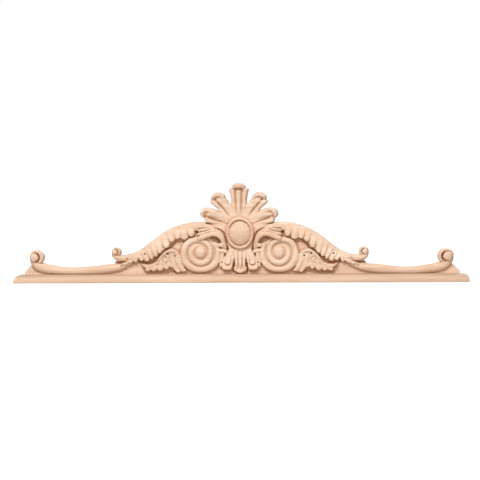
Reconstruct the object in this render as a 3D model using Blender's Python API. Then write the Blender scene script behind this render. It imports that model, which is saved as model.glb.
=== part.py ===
"""Carved wooden pediment applique: a scrolled and leafed panel standing on a plain moulded ledge.

Frame: X to the right, Z up, and the carving faces -Y. The origin is the middle of the flat underside,
and the flat backs of both pieces lie in one upright plane, half the ledge's depth behind it. Metres."""
import math

import bmesh
import bpy
import numpy as np

for old in list(bpy.data.objects):
    bpy.data.objects.remove(old, do_unlink=True)

# Driving dimensions
LEDGE_LENGTH = 1.220
OVERALL_HEIGHT = 0.265
LEDGE_HEIGHT = 0.022
OVOLO_REACH = 0.020
OVOLO_FILLET = 0.003
OVOLO_STEPS = 8
END_SHELF = 0.007
FRONT_SHELF = 0.012
BOARD_THICKNESS = 0.012
RELIEF_DEPTH = 0.022
JOINT_GAP = 0.0003

# Sizes that follow from them
LEDGE_DEPTH = BOARD_THICKNESS + FRONT_SHELF + OVOLO_REACH
PANEL_HALF = LEDGE_LENGTH / 2 - OVOLO_REACH - END_SHELF
PANEL_RISE = OVERALL_HEIGHT - LEDGE_HEIGHT - JOINT_GAP

# The carving is set out on a drawing: out from the middle line, up from the ledge, and the height of
# each form above the face of the board. Its units are shares of the panel, about a millimetre each.
UNIT_OUT = PANEL_HALF / 583
UNIT_UP = PANEL_RISE / 242.5
UNIT_RELIEF = RELIEF_DEPTH / 22
BOARD_END = PANEL_HALF / UNIT_OUT
END_STEP = 6.5
MEDALLION_UP = 109.5
VOLUTE_OUT = 104.0
VOLUTE_UP = 57.0
SCROLL_OUT = BOARD_END - 35.7
SCROLL_UP = 45.0
CURL_OUT = 329.5
CURL_UP = 59.0
GRID_STEP = 2.0
TURN_STEP = 22.5
WALL_SLOPE = 16.0
WALL_INSET = 1.0
OUTSIDE = -60.0
FLOOR = -7.0
PANEL_TRIANGLES = 9300
FLATTEN = 0.0002

SHEET_OUT = BOARD_END + 20
SHEET_UP = MEDALLION_UP + 147
OUT, UP = np.meshgrid(np.arange(0, SHEET_OUT, GRID_STEP), np.arange(-5, SHEET_UP, GRID_STEP))
relief = np.full(OUT.shape, OUTSIDE)


def smooth_rows(knots, steps=6, closed=False):
    """A smooth curve through the knots; their columns are out, up, and where given half width and height."""
    knots = np.array(knots, float)
    if closed:
        ends = np.vstack([knots[-1], knots, knots[0], knots[1]])
    else:
        ends = np.vstack([2 * knots[0] - knots[1], knots, 2 * knots[-1] - knots[-2]])
    rows = []
    for before, start, end, after in zip(ends, ends[1:], ends[2:], ends[3:]):
        for t in np.arange(steps) / steps:
            rows.append(0.5 * (2 * start + (end - before) * t
                               + (2 * before - 5 * start + 4 * end - after) * t ** 2
                               + (3 * start - 3 * end + after - before) * t ** 3))
    rows = np.array(rows + [knots[0] if closed else knots[-1]])
    if rows.shape[1] > 2:
        rows[:, 2] = np.maximum(rows[:, 2], 0.3)
    return rows


def window_round(rows, reach):
    """The part of the drawing within reach of a curve."""
    low, high = rows[:, :2].min(axis=0) - reach, rows[:, :2].max(axis=0) + reach
    columns = slice(*np.searchsorted(OUT[0], [low[0], high[0]]))
    lines = slice(*np.searchsorted(UP[:, 0], [low[1], high[1]]))
    return lines, columns


def beside(rows):
    """For the points near a curve: their window, distance in half widths, side, half width and height."""
    window = window_round(rows, rows[:, 2].max() + 8)
    out, up = OUT[window], UP[window]
    gap = np.full(out.shape, 1e9)
    side, half, height = np.zeros(out.shape), np.zeros(out.shape), np.zeros(out.shape)
    for start, end in zip(rows, rows[1:]):
        run = end[:2] - start[:2]
        t = ((out - start[0]) * run[0] + (up - start[1]) * run[1]) / max(run @ run, 1e-9)
        t = np.clip(t, 0, 1)
        wide = start[2] + (end[2] - start[2]) * t
        here = np.hypot(out - start[0] - run[0] * t, up - start[1] - run[1] * t) / wide
        near = here < gap
        gap = np.where(near, here, gap)
        turn = run[0] * (up - start[1]) - run[1] * (out - start[0])
        side = np.where(near, np.sign(turn), side)
        half = np.where(near, wide, half)
        height = np.where(near, start[3] + (end[3] - start[3]) * t, height)
    return window, gap, side, half, height


def bead(knots, roundness=0.8, steps=6, hollow=0.0, tilt=0.0):
    """Raises a rounded form along a curve; roundness 1 is a half round, 0 is flat. Hollow is the depth
    of a gouge cut down its middle, and tilt lifts its left edge, as it runs, above its right one."""
    window, gap, side, half, height = beside(smooth_rows(knots, steps))
    inner = np.minimum(gap, 1)
    drop = roundness * half * (1 - np.sqrt(1 - inner ** 2))
    drop = drop + hollow * np.clip(1 - (gap / 0.66) ** 2, 0, 1) - tilt * side * inner
    wall = np.maximum(gap * half - half + WALL_INSET, 0) * WALL_SLOPE
    relief[window] = np.maximum(relief[window], height - drop - wall)


def groove(knots, steps=6):
    """Cuts a rounded groove along a curve, whose last column is its depth."""
    window, gap, side, half, depth = beside(smooth_rows(knots, steps))
    old = relief[window]
    cut = np.maximum(old - depth * np.clip(1 - gap ** 2, 0, 1), np.minimum(old, FLOOR))
    relief[window] = np.where(gap < 1, cut, old)


def pit(out, up, radius, depth):
    """Sinks a round hole, as left by a drill or a gouge's point."""
    gap = np.hypot(OUT - out, UP - up) / radius
    cut = np.maximum(relief - depth * np.sqrt(np.clip(1 - gap ** 2, 0, 1)), np.minimum(relief, FLOOR))
    relief[...] = np.where(gap < 1, cut, relief)


def dome(out, up, half_out, half_up, edge, crown, power=0.5):
    """Raises an oval dome from the height of its edge to its crown."""
    gap = np.hypot((OUT - out) / half_out, (UP - up) / half_up)
    value = edge + (crown - edge) * np.clip(1 - gap ** 2, 0, 1) ** power
    value = np.where(gap > 1, edge - (gap - 1) * half_out * WALL_SLOPE, value)
    relief[...] = np.maximum(relief, value)


def inside_and_distance(outline, reach):
    """For the points near a closed outline: their window, whether they are inside, and how far from it."""
    window = window_round(outline, reach)
    out, up = OUT[window], UP[window]
    inside = np.zeros(out.shape, bool)
    away = np.full(out.shape, 1e9)
    for start, end in zip(outline, outline[1:]):
        run = end - start
        t = ((out - start[0]) * run[0] + (up - start[1]) * run[1]) / max(run @ run, 1e-9)
        t = np.clip(t, 0, 1)
        away = np.minimum(away, np.hypot(out - start[0] - run[0] * t, up - start[1] - run[1] * t))
        if start[1] != end[1]:
            crossing = start[0] + (up - start[1]) / (end[1] - start[1]) * run[0]
            inside ^= ((start[1] > up) != (end[1] > up)) & (out < crossing)
    return window, inside, away


def mass(outline, height, edge, drop, fall=(0, 0)):
    """Raises a form with a closed outline: height at its middle, rounded over by drop within edge of
    its outline. Fall is how much the height changes with each unit out and up from its middle."""
    rows = smooth_rows(outline, 5, closed=True)
    window, inside, away = inside_and_distance(rows, 10)
    middle = rows[:-1].mean(axis=0)
    level = height + fall[0] * (OUT[window] - middle[0]) + fall[1] * (UP[window] - middle[1])
    near = np.clip(1 - (away - WALL_INSET) / edge, 0, 1)
    body = level - drop * (1 - np.sqrt(1 - near ** 2))
    wall = level - drop - np.where(inside, WALL_INSET - away, WALL_INSET + away) * WALL_SLOPE
    value = np.where(inside & (away > WALL_INSET), body, wall)
    relief[window] = np.maximum(relief[window], value)


def beyond(out, up, knots):
    """Knots that are given from a point of the drawing."""
    return [(out + aside, up + above, *rest) for aside, above, *rest in knots]


def around(out, up, stations):
    """Knots on a curl: each station is degrees from outward, radius, half width and height."""
    return [(out + radius * math.cos(math.radians(degrees)), up + radius * math.sin(math.radians(degrees)),
             half, height) for degrees, radius, half, height in stations]


def winding(out, up, stations):
    """Knots on a spiral of several turns, spaced evenly between its stations."""
    degrees, *columns = np.array(stations, float).T
    turns = np.arange(degrees[0], degrees[-1] + 1, TURN_STEP)
    return around(out, up, zip(turns, *(np.interp(turns, degrees, column) for column in columns)))


# The main lines of the design: out, up, half width, height above the board
ARCH = [(300, 44, 8, 8), (281, 47.5, 9.5, 9), (262, 54, 10.5, 9), (243, 66.5, 11.5, 9), (223, 81, 12, 9),
        (202, 97, 12, 9), (181, 109.5, 12, 9), (160, 118, 12, 9), (138, 124, 12, 9), (114, 127, 12, 9),
        (90, 126, 11, 8), (66, 121, 10, 7)]
LONG_STEM = [(290, 33, 8, 8), (308, 23.5, 8.5, 9), (326, 17.5, 9.5, 10), (350, 14.5, 12, 10),
             (384, 11, 11.5, 10), (430, 8.5, 9.5, 10), (470, 9, 10, 10)]
LONG_STEM += beyond(SCROLL_OUT, SCROLL_UP, [(-37, -31.5, 12, 10), (-20, -28, 12.8, 10), (-5, -23, 12.2, 10),
                                            (5, -14, 11.6, 10), (10, -4, 10.8, 10), (10, 2, 10, 10)])
SHORT_STEM = [(288, 44, 7, 8), (302, 43, 8, 9), (315, 42.5, 9, 10), (326, 44.5, 9, 10), (334, 50, 7.6, 10),
              (336.5, 56, 6, 10)]


# The lobes of the leaves: where each starts and ends, and its half width
HUSK_LOBES = [((268, 46), (275, 33), 4), ((275, 45), (290, 31), 4.6), ((281, 43), (303, 26.5), 4.4),
              ((287, 41), (316, 24.5), 3.4)]
ARCH_LOBES = [((267, 53), (257, 38), 6.6), ((255, 60), (242, 36.5), 7.8), ((243, 69), (230, 42), 7.6),
              ((229, 79), (220, 48), 7.2), ((214.5, 90), (209.5, 57), 8.8), ((198, 101), (192, 73), 9.8),
              ((183, 109), (177, 90), 9.0), ((168, 116), (162.5, 97), 8.2), ((148, 122), (145, 97), 11.4),
              ((130, 125), (126.5, 104), 9.2)]
FAN_LOBES = [((223, 25), (243, 12), 6.2), ((212, 27), (227, 14), 6.4), ((203, 27), (210, 14), 7.2),
             ((194, 30), (195.5, 17), 5.8), ((187, 34), (183, 20), 5.2)]


def board():
    """The flat ground behind the carving, from the ledge up to the middle of the stems and the arch."""
    arch, stem = smooth_rows(ARCH), smooth_rows(LONG_STEM)
    top = np.interp(OUT[0], arch[::-1, 0], arch[::-1, 1])
    top = np.where(OUT[0] < 95, 125, top)
    top = np.where(OUT[0] > 298, np.interp(OUT[0], stem[:, 0], stem[:, 1]), top)
    top = np.where(OUT[0] > SCROLL_OUT - 3, SCROLL_UP - 20, top)
    value = np.minimum(0, (top[None, :] - UP) * WALL_SLOPE)
    value = np.minimum(value, (BOARD_END - np.maximum(UP - END_STEP, 0) - OUT) * WALL_SLOPE)
    relief[...] = np.maximum(relief, value)


def scroll(out, up, size, height):
    """The curl at the end of a stem, like a young fern: a ring that thickens as it turns, round an eye."""
    dome(out, up, 19 * size, 19 * size, 3, 4)
    ring = [(18, 19.4, 2.8, -3), (50, 17.9, 3.4, -1), (90, 16.4, 4.2, 0), (130, 16.2, 5.4, 1),
            (165, 16.0, 6.4, 1), (200, 15.2, 6.4, 0), (232, 13.8, 5.2, -1), (258, 12.0, 3.6, -3)]
    bead(around(out, up, [(a, r * size, half * size, height + lift * size) for a, r, half, lift in ring]),
         0.85)
    dome(out + 5 * size, up - 0.5 * size, 12.6 * size, 12.8 * size, height * 0.4, height + 4.5 * size)
    cut = [(18, 17.4, 1.2, 2), (45, 15.4, 1.5, 4), (80, 12.9, 1.8, 6), (120, 11.6, 2.0, 7),
           (160, 9.8, 2.0, 7), (195, 9.0, 2.1, 7), (225, 10, 2.4, 7)]
    groove(around(out, up, [(a, r * size, half * size, depth * size) for a, r, half, depth in cut]))
    hollow = [(225, 10.0, 2.6, 5), (255, 10.8, 4.4, 8), (285, 12.0, 3.4, 5)]
    groove(around(out, up, [(a, r * size, half * size, depth * size) for a, r, half, depth in hollow]))


def long_stem():
    """The low stem along the ledge, rolled up at its outer end."""
    bead(LONG_STEM, 0.8)
    scroll(SCROLL_OUT, SCROLL_UP, 1.0, 12)


def short_stem():
    """The smaller curl that springs up from the same husk, and the web between the two stems."""
    bead([(300, 33, 9, 1), (318, 31, 7, 1), (330, 30, 5, 1)], 0.2)
    bead(SHORT_STEM, 0.8)
    scroll(CURL_OUT, CURL_UP, 0.61, 12)


def husk():
    """The leafy husk that both stems spring from, with a scalloped lower edge."""
    mass([(258, 50), (271, 36), (287, 31), (304, 25.5), (320, 23.5), (308, 36), (302, 49), (280, 54)], 11.5,
         6, 4)
    for start, end, half in HUSK_LOBES:
        middle = ((start[0] + end[0]) / 2 - 1, (start[1] + end[1]) / 2 + 1)
        bead([(*start, half * 0.6, 10), (*middle, half, 12.5), (*end, half * 0.8, 13)], 0.6)
    groove([(298, 38, 2, 4), (304, 34, 2.2, 9), (318, 31.5, 2.6, 10), (336, 30.5, 2, 6)])
    pit(298, 41, 2.6, 9)


def arch_leaf():
    """The sweeping arch, and the leaf under it whose lobes hang side by side and turn forward."""
    bead(ARCH, 0.7)
    bead([(262, 47, 7, 9.5), (248, 49.5, 10, 11), (236, 55, 12, 11.5), (224, 63, 13.5, 12),
          (211, 74, 15, 12), (197, 86, 13, 12), (181, 98, 10, 12), (165, 105, 10, 12), (147, 110, 12, 12),
          (130, 114, 10, 11)], 0.3)
    for (out, up), (tip_out, tip_up), half in ARCH_LOBES:
        rows = []
        for share, width, height in ((0.0, 0.5, 9), (0.2, 0.85, 11.5), (0.5, 1.0, 14), (0.8, 0.94, 15.5)):
            rows.append((out + (tip_out - out) * share, up + (tip_up - up) * share, half * width, height))
        rows.append((tip_out, tip_up + half * 0.5, half * 0.66, 15))
        bead(rows, 0.34, hollow=1.0, tilt=1.3)
    pit(250, 54, 2.8, 8)
    pit(226, 44.5, 2.4, 8)


def shadow_channel():
    """The deep channel between the arch's leaf and the fan below it."""
    groove([(266, 40, 4, 5), (264, 32, 4.5, 6), (250, 31, 3.5, 6), (238, 31, 4.5, 6), (224, 37, 5, 6),
            (211, 49, 4.5, 6), (197, 63, 4.5, 6), (184, 71, 4.5, 6), (174, 84, 5, 6), (164, 89, 4.5, 5),
            (150, 87, 4, 4)])
    groove([(250, 5, 4, 3), (235, 3, 5, 5), (210, 4, 6, 6), (190, 7, 7, 6), (176, 7, 5, 6), (170, 3, 3, 4)])


def volute():
    """The big spiral beside the medallion, wound inward round a raised eye."""
    dome(VOLUTE_OUT, VOLUTE_UP, 46, 46, 3, 8.5, 0.35)
    turns = [(150, 45, 6.6, 11), (222, 48, 9.4, 13.5), (270, 45, 8.6, 13.5), (315, 47.5, 9.6, 13),
             (400, 42, 9, 13), (460, 32, 6.8, 14), (540, 26, 7.2, 14.5), (630, 28, 8.8, 14.5),
             (720, 25, 7, 13.5), (800, 21, 3, 9)]
    bead(winding(VOLUTE_OUT, VOLUTE_UP, turns), 0.85, steps=2)
    dome(VOLUTE_OUT, VOLUTE_UP, 15.2, 17.2, 6, 17.5)


def fan_leaf():
    """The leaf that fills the corner under the arch, outside the volute, with scalloped lower edges."""
    mass([(258, 28), (247, 14), (228, 14), (205, 14), (183, 18), (166, 6), (143, 8), (152, 32), (160, 58),
          (178, 68), (198, 61), (214, 40), (236, 28)], 10, 5, 4, (0, 0.03))
    bead([(258.5, 28.5, 2.2, 15), (251, 21.5, 3.6, 14), (241, 20.5, 4.4, 13), (229, 23.5, 4.6, 12.5),
          (219.5, 30, 4.6, 12.5), (211.5, 41, 4.2, 13), (202.5, 52.5, 4.2, 14), (192.5, 60, 4.6, 15),
          (182, 63.5, 4.8, 15.5), (172.5, 61, 4.2, 14), (166.5, 54, 3.4, 11)], 0.7)
    for (out, up), (tip_out, tip_up), half in FAN_LOBES:
        bead([(out, up, half * 0.7, 9), ((out + tip_out) / 2, (up + tip_up) / 2, half, 12),
              (tip_out, tip_up, half * 0.9, 13.5)], 0.5, hollow=0.5)
    bead([(176, 44, 3.5, 10), (174, 30, 4.6, 12), (170, 17, 5.4, 13.5), (163, 8, 5.2, 14)], 0.6, hollow=0.8)
    bead([(167, 52, 3.5, 9), (163, 36, 4.8, 11), (158, 21, 5.6, 12.5), (151, 11.5, 5, 13),
          (143, 9.5, 3, 12)], 0.6)
    pit(190, 55, 2.9, 10)
    pit(171.2, 48.5, 2.4, 10)


def crown():
    """The five petals that fan out above the medallion, their tips rolled forward."""
    mass(beyond(0, MEDALLION_UP, [(-30, 20), (0, 66), (22, 78), (54, 52), (76, 24), (60, 0), (44, -30),
                                  (0, -50)]), 6.5, 8, 3)
    mass(beyond(0, MEDALLION_UP, [(-20, 50), (-20.5, 85), (-23.5, 106), (-25.5, 117), (-14, 121), (14, 121),
                                  (25.5, 117), (23.5, 106), (20.5, 85), (20, 50)]), 9, 7, 3.5, (0, 0.07))
    bead([(0, MEDALLION_UP + 38, 5, 7), (0, MEDALLION_UP + 70, 6.2, 11), (0, MEDALLION_UP + 116, 7, 15)],
         0.55)
    bead([(9, MEDALLION_UP + 44, 4.5, 6), (14, MEDALLION_UP + 72, 5, 9), (15.5, MEDALLION_UP + 98, 6, 12),
          (18, MEDALLION_UP + 114, 6, 13)], 0.5)
    groove([(5.5, MEDALLION_UP + 46, 0.9, 1), (7.6, MEDALLION_UP + 74, 1.7, 4),
            (8.4, MEDALLION_UP + 113, 2.1, 5)])
    groove(beyond(0, MEDALLION_UP, [(0, 118.6, 2.4, 7), (8, 119.2, 2.2, 6), (15, 121, 1.6, 4),
                                    (20, 124, 1, 2)]))
    bead(beyond(0, MEDALLION_UP, [(-9, 124.5, 5.6, 18), (-4, 126, 6.2, 19.5), (4, 126, 6.2, 19.5),
                                  (9, 124.5, 5.6, 18)]), 0.8)
    mass(beyond(0, MEDALLION_UP, [(8, 46), (22, 74), (34, 88), (43, 102), (57, 107), (70, 100), (72.5, 87),
                                  (62, 73.5), (48, 61), (28, 38)]), 7.5, 6, 3, (0.02, 0.04))
    bead(beyond(0, MEDALLION_UP, [(17, 46, 7, 6), (28, 62, 10, 9), (40, 80, 11.5, 12), (50, 93, 11, 15),
                                  (56, 99, 9, 16)]), 0.55, hollow=0.8)
    bead(beyond(0, MEDALLION_UP, [(34, 46, 4, 5), (46, 62, 5.5, 7), (58, 74.5, 6.5, 9.5), (67, 84, 6.5, 12),
                                  (69, 90, 5, 13)]), 0.6)
    groove(beyond(0, MEDALLION_UP, [(26, 44, 1.2, 2), (35, 57, 1.8, 5), (44, 69, 2.2, 6.5),
                                    (54, 79, 2.2, 6), (63, 84.5, 1.8, 4)]))
    bead(beyond(0, MEDALLION_UP, [(44, 99, 4, 14), (52, 101.5, 5, 17), (60, 102, 5.5, 18),
                                  (66.5, 97, 5, 17.5), (68, 91, 4, 15)]), 0.8)
    groove(beyond(0, MEDALLION_UP, [(50, 94.5, 2, 2), (57, 95.5, 3.4, 5), (64, 92, 3.2, 5),
                                    (67, 88, 1.8, 2)]))
    mass(beyond(0, MEDALLION_UP, [(28, 36), (50, 56), (64, 60), (80, 67.5), (97, 61), (101, 49), (92, 40),
                                  (88, 28), (66, 22.5), (38, 10)]), 6.5, 6, 3, (0.045, 0.02))
    bead(beyond(0, MEDALLION_UP, [(30, 32, 6, 5), (47, 43, 8.5, 8), (64, 51, 10.5, 11.5),
                                  (80, 56, 11, 14.5), (90, 56, 9.5, 15.5)]), 0.55, hollow=0.8)
    bead(beyond(0, MEDALLION_UP, [(38, 16, 5, 5), (56, 27.5, 6, 7), (72, 31, 6.5, 10), (85, 33.5, 6, 12.5),
                                  (89, 37, 4.5, 13)]), 0.6)
    groove(beyond(0, MEDALLION_UP, [(34, 24, 1.2, 2), (50, 31, 1.9, 5), (66, 35.5, 2.2, 6.5),
                                    (78, 40.5, 2.2, 6), (86, 46, 1.6, 4)]))
    bead(beyond(0, MEDALLION_UP, [(82, 62, 4, 14), (90, 60.5, 5, 17), (97, 56, 5.5, 18), (97, 50, 5, 17),
                                  (93.5, 46, 3.5, 14)]), 0.8)
    bead(beyond(0, MEDALLION_UP, [(36, 50, 3, 5), (47, 58, 4, 7), (53, 60, 3, 7)]), 0.7)


def hood_leaf():
    """The leaf that turns over the top of the volute, with its fingers and the tie below it."""
    mass([(112, 104), (104, 93), (84, 95), (64, 102), (52, 88), (48, 68), (35, 66), (36, 90), (50, 115),
          (76, 128), (102, 130)], 11, 5, 3)
    bead([(96, 129, 3.2, 14), (84, 129.5, 4, 14), (72, 126, 4, 13)], 0.7)
    bead([(107, 125, 3, 15), (98, 126.5, 3.4, 15), (84, 125.5, 4, 15), (70, 121.5, 4, 14)], 0.7)
    bead([(108, 116, 3.4, 16), (98, 119, 4, 16.5), (84, 120, 4.6, 16.5), (69, 117.5, 4.6, 16)], 0.7)
    bead([(110, 107, 3.6, 17), (99, 109.5, 5, 18), (84, 114, 5.2, 18), (68, 114, 5, 17)], 0.65)
    bead([(108, 98, 4.5, 18), (98, 100.5, 6.5, 19), (85, 104.5, 7, 20), (72, 107.5, 7, 20),
          (60, 106, 7.5, 20), (50, 99.5, 7.5, 19.5), (44.5, 90, 7, 18), (42.5, 80, 5.5, 16),
          (39, 70, 4, 13)], 0.6)
    groove([(79, 97, 1.8, 4), (73, 97.5, 3.6, 9), (65, 96.5, 5, 11), (57, 92, 4.6, 11), (51, 88.5, 2.6, 8)])
    bead([(60, 82, 3.2, 12), (50, 82.5, 4.8, 15.5), (39, 80, 4.6, 14)], 0.8)
    bead([(60, 74.5, 2.6, 12), (50, 74.5, 3.8, 15), (38, 72, 3.4, 13.5)], 0.8)
    bead([(59, 62, 4, 9.5), (49, 63.5, 6.4, 14), (38, 60, 5, 12)], 0.8)
    groove([(60, 69.6, 1, 3), (50, 69.6, 1.3, 5), (40, 67, 1.2, 4)])
    bead([(47, 60, 5.5, 12), (47.5, 47, 6, 10), (50, 33, 4.5, 7), (52, 24, 3, 4)], 0.7)


def pendant():
    """The leaf that hangs under the medallion: a fluted middle lobe and a lobe to each side."""
    mass([(15, 70), (30, 66), (42, 46), (50.5, 28), (45, 15), (30, 13), (20, 14), (17, 40)], 10.5, 5, 3.5,
         (0, -0.06))
    bead([(25, 68, 5, 9), (27, 56, 6.5, 12), (31.5, 44, 8, 14), (33, 33, 8.5, 15)], 0.55, hollow=2.4)
    bead([(24, 19.5, 4.5, 15), (33, 18.5, 5.2, 17), (43, 19.5, 4.8, 16)], 0.8)
    bead([(46.5, 40, 2.6, 9), (46, 30, 3.4, 12), (45, 22, 3.6, 14)], 0.7)
    groove([(24.5, 48, 0.9, 1.5), (24, 36, 1.3, 3), (26, 27, 1.6, 4.5), (32, 23.8, 1.8, 5),
            (38.5, 25.5, 1.5, 4), (41, 34, 1.1, 2), (38, 44, 0.8, 1)])
    mass([(-16, 68), (-13.5, 25), (-11, 10), (0, 1), (11, 10), (13.5, 25), (16, 68)], 13, 5.5, 3.5,
         (0, -0.07))
    bead([(0, 66, 4.5, 9), (0, 44, 5, 13.5), (0, 24, 4.6, 16), (0, 14, 3.4, 17)], 0.6)
    bead([(11.5, 64, 3.6, 9), (11, 44, 4, 13), (10, 26, 3.8, 15.5), (11, 15, 3, 16)], 0.6)
    groove([(5.2, 64, 0.9, 1.5), (5.6, 44, 1.5, 4), (5, 26, 1.6, 4.5), (3, 17, 1.5, 4), (0, 12.5, 1.5, 4)])
    bead([(0, 6.5, 4.6, 18), (0, 5.5, 4.4, 18)], 0.8)
    pit(15.8, 28, 3.5, 14)
    groove([(16, 28, 2.6, 10), (18.5, 23, 2.2, 12), (19, 14, 1.8, 11), (18.5, 7, 2, 8)])
    pit(47.5, 31, 2.2, 8)


def medallion():
    """The oval ring and the smooth dome inside it."""
    half_out, half_up = 35.5, 43
    gap = np.hypot(OUT / half_out, (UP - MEDALLION_UP) / half_up)
    ring = 17.5 - 5 * (1 - np.sqrt(np.clip(1 - ((gap - 0.9) / 0.1) ** 2, 0, 1)))
    ring = np.where(gap > 1, 12.5 - (gap - 1) * half_out * WALL_SLOPE, ring)
    ring = np.where(gap < 0.8, 6.5, ring)
    relief[...] = np.where(gap < 1, ring, np.maximum(relief, ring))
    dome(0, MEDALLION_UP, 26.6, 31.4, 8, 22)
    groove(beyond(0, MEDALLION_UP, [(29, -52, 1.4, 3), (33.5, -46, 1.9, 7), (32.5, -38, 2.2, 9),
                                    (34, -29, 2.3, 9), (37, -17, 2.3, 9), (39, -6, 2.3, 8), (45, 3, 2.4, 8),
                                    (54, 9, 2.2, 7), (63, 13, 1.8, 5), (70, 14, 1.2, 2)]))
    pit(112.5, 112, 3.8, 14)


for carve in (board, long_stem, short_stem, husk, arch_leaf, volute, fan_leaf, shadow_channel, crown,
              hood_leaf, pendant, medallion):
    carve()


# The solids
applique = bpy.data.collections.new("carved_wooden_applique")
bpy.context.scene.collection.children.link(applique)


def sanded_wood(name, red, green, blue):
    """Bare, fine-sanded pale hardwood."""
    material = bpy.data.materials.new(name)
    material.use_nodes = True
    shader = material.node_tree.nodes["Principled BSDF"]
    shader.inputs["Base Color"].default_value = (red, green, blue, 1)
    shader.inputs["Roughness"].default_value = 0.6
    shader.inputs["Metallic"].default_value = 0
    return material


def keep(name, shape, material):
    """Makes a named object of a shape modelled with its back at Y = 0, and moves it to its place."""
    bmesh.ops.translate(shape, verts=shape.verts, vec=(0, LEDGE_DEPTH / 2, 0))
    mesh = bpy.data.meshes.new(name)
    shape.to_mesh(mesh)
    shape.free()
    mesh.materials.append(material)
    piece = bpy.data.objects.new(name, mesh)
    applique.objects.link(piece)
    return piece


def cut_flat(shape, normal):
    """Cuts away what lies past a plane through the origin and closes the cut."""
    parts = shape.verts[:] + shape.edges[:] + shape.faces[:]
    bmesh.ops.bisect_plane(shape, geom=parts, plane_co=(0, 0, 0), plane_no=normal, clear_outer=True)
    bmesh.ops.holes_fill(shape, edges=[edge for edge in shape.edges if edge.is_boundary], sides=0)


def thinned(shape, triangles):
    """The same shape in about so many triangles, most of them where it curves most."""
    mesh = bpy.data.meshes.new("thinning")
    shape.to_mesh(mesh)
    shape.free()
    holder = bpy.data.objects.new("thinning", mesh)
    applique.objects.link(holder)
    fewer = holder.modifiers.new("fewer", "DECIMATE")
    fewer.ratio = triangles / len(mesh.polygons)
    fewer.use_collapse_triangulate = True
    bpy.context.view_layer.update()
    result = bmesh.new()
    result.from_object(holder, bpy.context.evaluated_depsgraph_get())
    bpy.data.objects.remove(holder, do_unlink=True)
    return result


def carved_panel(material):
    """The carving as one solid: a grid raised to the relief, cut flat at the back and the foot."""
    lines, columns = relief.shape
    shape = bmesh.new()
    bmesh.ops.create_grid(shape, x_segments=2 * columns - 2, y_segments=lines - 1, size=1)
    for number, vert in enumerate(shape.verts):
        line, column = divmod(number, 2 * columns - 1)
        side = column - (columns - 1)
        height = max(relief[line, abs(side)] * UNIT_RELIEF, -2 * BOARD_THICKNESS)
        vert.co = (side * GRID_STEP * UNIT_OUT, -BOARD_THICKNESS - height, UP[line, 0] * UNIT_UP)
    waste = [face for face in shape.faces if min(vert.co.y for vert in face.verts) > 0]
    bmesh.ops.delete(shape, geom=waste, context="FACES")
    rim = [edge for edge in shape.edges if edge.is_boundary]
    walls = bmesh.ops.extrude_edge_only(shape, edges=rim)["geom"]
    for vert in walls:
        if isinstance(vert, bmesh.types.BMVert):
            vert.co.y = BOARD_THICKNESS * 2
    bmesh.ops.holes_fill(shape, edges=[edge for edge in shape.edges if edge.is_boundary], sides=0)
    for normal in ((0, 1, 0), (0, 0, -1)):
        cut_flat(shape, normal)
    bmesh.ops.triangulate(shape, faces=shape.faces)
    bmesh.ops.recalc_face_normals(shape, faces=shape.faces)
    shape = thinned(shape, PANEL_TRIANGLES)
    for vert in shape.verts:
        vert.co.y = 0 if vert.co.y > -FLATTEN else vert.co.y
        vert.co.z = 0 if vert.co.z < FLATTEN else vert.co.z
    bmesh.ops.translate(shape, verts=shape.verts, vec=(0, 0, LEDGE_HEIGHT + JOINT_GAP))
    bmesh.ops.dissolve_degenerate(shape, edges=shape.edges, dist=FLATTEN / 10)
    bmesh.ops.triangulate(shape, faces=shape.faces)
    panel = keep("carved_panel", shape, material)
    panel.data.shade_smooth()
    panel.data.set_sharp_from_angle(angle=math.radians(40))
    return panel


def ledge_moulding(material):
    """The plain ledge: a quarter-round along the front, returned round both ends, on a flat foot."""
    shape = bmesh.new()
    stations = [(0, 0), (0, OVOLO_FILLET)]
    rise = LEDGE_HEIGHT - OVOLO_FILLET
    for step in range(1, OVOLO_STEPS + 1):
        turn = math.pi / 2 * step / OVOLO_STEPS
        stations.append((OVOLO_REACH * (1 - math.cos(turn)), OVOLO_FILLET + rise * math.sin(turn)))
    half = LEDGE_LENGTH / 2
    corners = ((-half, -LEDGE_DEPTH), (half, -LEDGE_DEPTH), (half, 0), (-half, 0))
    foot = [shape.verts.new((out, depth, 0)) for out, depth in corners]
    ring = [shape.edges.new((foot[i - 1], foot[i])) for i in range(len(foot))]
    for inset, up in stations[1:]:
        grown = bmesh.ops.extrude_edge_only(shape, edges=ring)["geom"]
        ring = [part for part in grown if isinstance(part, bmesh.types.BMEdge)]
        for vert in {vert for edge in ring for vert in edge.verts}:
            vert.co.x = math.copysign(half - inset, vert.co.x)
            vert.co.y = -LEDGE_DEPTH + inset if vert.co.y < -LEDGE_DEPTH / 2 else 0
            vert.co.z = up
    bmesh.ops.holes_fill(shape, edges=[edge for edge in shape.edges if edge.is_boundary], sides=0)
    bmesh.ops.recalc_face_normals(shape, faces=shape.faces)
    ledge = keep("ledge_moulding", shape, material)
    ledge.data.shade_smooth()
    ledge.data.set_sharp_from_angle(angle=math.radians(40))
    return ledge


carved_panel(sanded_wood("sanded_wood_carving", 0.68, 0.45, 0.30))
ledge_moulding(sanded_wood("sanded_wood_moulding", 0.66, 0.43, 0.28))
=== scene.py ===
"""Looks of the carved wooden applique: bare, fine-sanded hardwood seen straight on in soft studio light.

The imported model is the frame. The carved panel is carved again here in full detail in its own box, and
the ledge under it is moulded again with finer steps. Sizes are in metres, apart from the carving's own
drawing, whose units are about a millimetre each."""
import math

import bmesh
import bpy
import numpy as np
from mathutils import Matrix, Vector


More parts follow.
